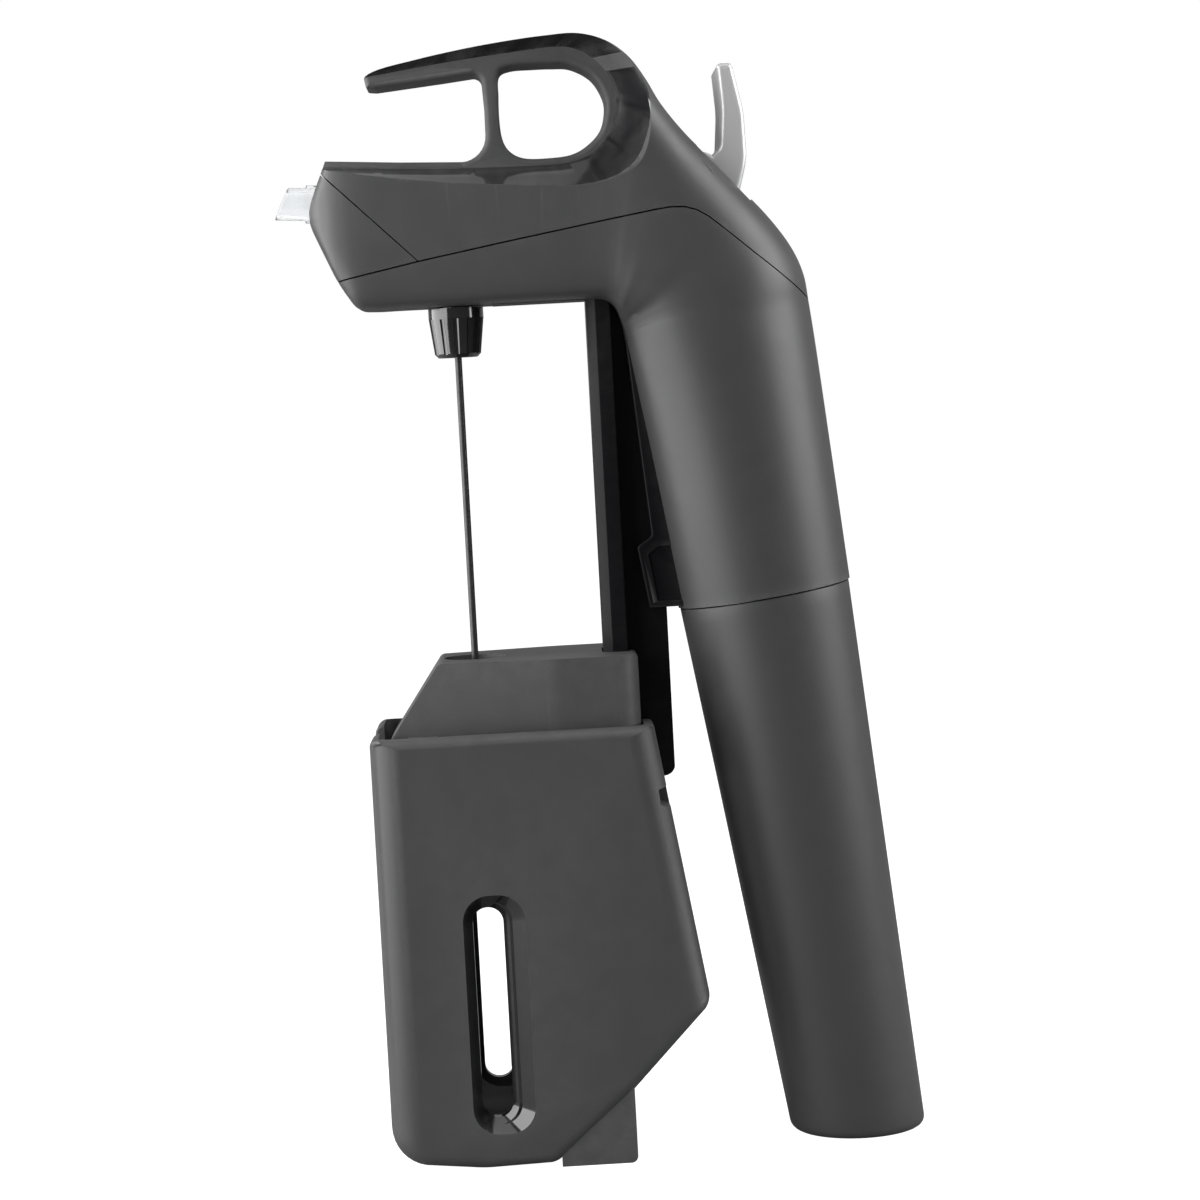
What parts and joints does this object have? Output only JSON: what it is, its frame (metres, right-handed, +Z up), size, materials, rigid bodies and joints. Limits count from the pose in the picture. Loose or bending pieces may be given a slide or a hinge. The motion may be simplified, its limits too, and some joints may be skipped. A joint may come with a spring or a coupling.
{
  "type": "wine preservation opener",
  "caption": "Hand-held needle wine opener: neck clamp on a sliding rail, finger-loop head with clear spout, hollow needle, thumb trigger and a tilted handle that holds a gas capsule.",
  "frame": {"origin": "centre of the bottle-stop face on the needle's axis, where the middle of the bottle's mouth meets the clamp", "axes": "+Z up the needle's axis, +X from the spout to the tilted handle, Y across the symmetry plane"},
  "size_m": [0.1308, 0.047, 0.2407],
  "materials": {
    "graphite_shell": "satin graphite, fine grain",
    "clamp_grey": "soft-touch matt",
    "gloss_black": "polished black",
    "grip_matt": "fine spark texture",
    "black_plastic": "smooth black",
    "rubber_black": "matt",
    "clear_plastic": "clear moulded",
    "silver_grey": "fine satin silver",
    "steel": "machined",
    "needle_coating": "thin dark non-stick coat",
    "brass_parts": "turned",
    "alloy": "turned",
    "capsule_steel": "drawn"
  },
  "bodies": {
    "clamp_base": {"base_block": "clamp_grey", "needle_guide": "black_plastic", "bottle_stop_pad": "rubber_black", "base_screws": "steel", "rail_bushing": "black_plastic", "hinge_pin_far": "steel", "hinge_pin_near": "steel", "arm_spring_far": "steel", "arm_spring_near": "steel"},
    "opener_body": {"handle_shell": "graphite_shell", "top_cover": "graphite_shell", "nose_cover": "graphite_shell", "loop_trim": "gloss_black", "finger_grip": "grip_matt", "root_plate": "black_plastic", "rail": "black_plastic", "rail_anchor": "steel", "rail_screws": "steel", "handle_bracket": "black_plastic", "spout": "clear_plastic", "manifold": "black_plastic", "gas_tube": "black_plastic", "valve_body": "brass_parts", "valve_spring": "steel", "valve_frame": "steel", "feed_tube": "black_plastic", "regulator_body": "alloy", "regulator_piston": "brass_parts", "regulator_spring": "steel", "regulator_cap": "alloy", "piercing_pin": "steel", "capsule_gasket": "rubber_black", "collar": "alloy", "trigger_pin": "steel", "trigger_spring": "steel"},
    "far_arm": {"arm_shell_far": "clamp_grey", "window_bezel_far": "gloss_black", "neck_pad_far": "rubber_black", "heel_far": "clamp_grey"},
    "near_arm": {"arm_shell_near": "clamp_grey", "window_bezel_near": "gloss_black", "neck_pad_near": "rubber_black", "heel_near": "clamp_grey"},
    "trigger": {"trigger_lever": "silver_grey"},
    "valve": {"valve_stem": "steel"},
    "capsule": {"gas_capsule": "capsule_steel"},
    "cup": {"capsule_cup": "graphite_shell", "thread_ring": "alloy", "cup_liner": "black_plastic", "cup_spring": "steel"},
    "stem_seal": {"needle_seal": "rubber_black"},
    "needle": {"needle_hub": "gloss_black", "needle": "needle_coating"}
  },
  "joints": [
    {"name": "body_slide", "type": "slide", "parent": "clamp_base", "child": "opener_body", "axis": [0, 0, -1], "range_m": [0, 0.0705]},
    {"name": "far_arm_hinge", "type": "hinge", "parent": "clamp_base", "child": "far_arm", "pos_m": [0.004, 0.0183, 0.0034], "axis": [1, 0, 0], "range_deg": [0, 8], "stiffness_Nm_per_rad": 0.6, "springref_deg": -20.05},
    {"name": "near_arm_hinge", "type": "hinge", "parent": "clamp_base", "child": "near_arm", "pos_m": [0.004, -0.0183, 0.0034], "axis": [-1, 0, 0], "range_deg": [0, 8], "stiffness_Nm_per_rad": 0.6, "springref_deg": -20.05},
    {"name": "trigger_squeeze", "type": "hinge", "parent": "opener_body", "child": "trigger", "pos_m": [0.0535, 0, 0.1244], "axis": [0, -1, 0], "range_deg": [0, 15], "stiffness_Nm_per_rad": 0.15, "springref_deg": -11.46},
    {"name": "valve_push", "type": "slide", "parent": "opener_body", "child": "valve", "axis": [0, 0, -1], "range_m": [0, 0.0024], "deforming": ["valve_spring"]},
    {"name": "cup_lower", "type": "slide", "parent": "opener_body", "child": "capsule", "axis": [0.1253, 0, -0.9921], "range_m": [0, 0.0045]},
    {"name": "cup_turn", "type": "hinge", "parent": "capsule", "child": "cup", "pos_m": [0.0637, 0, 0.0345], "axis": [0.1253, 0, -0.9921], "range_deg": [0, 1080]},
    {"name": "needle_lower", "type": "slide", "parent": "opener_body", "child": "stem_seal", "axis": [0, 0, -1], "range_m": [0, 0.0016]},
    {"name": "needle_turn", "type": "hinge", "parent": "stem_seal", "child": "needle", "pos_m": [0, 0, 0.095], "axis": [0, 0, -1], "range_deg": [0, 720]}
  ],
  "couplings": [
    {"joint": "valve_push", "follows": "trigger_squeeze", "m_per_rad": 0.009},
    {"joint": "cup_lower", "follows": "cup_turn", "m_per_rad": 0.00023873},
    {"joint": "needle_lower", "follows": "needle_turn", "m_per_rad": 0.00012732}
  ]
}
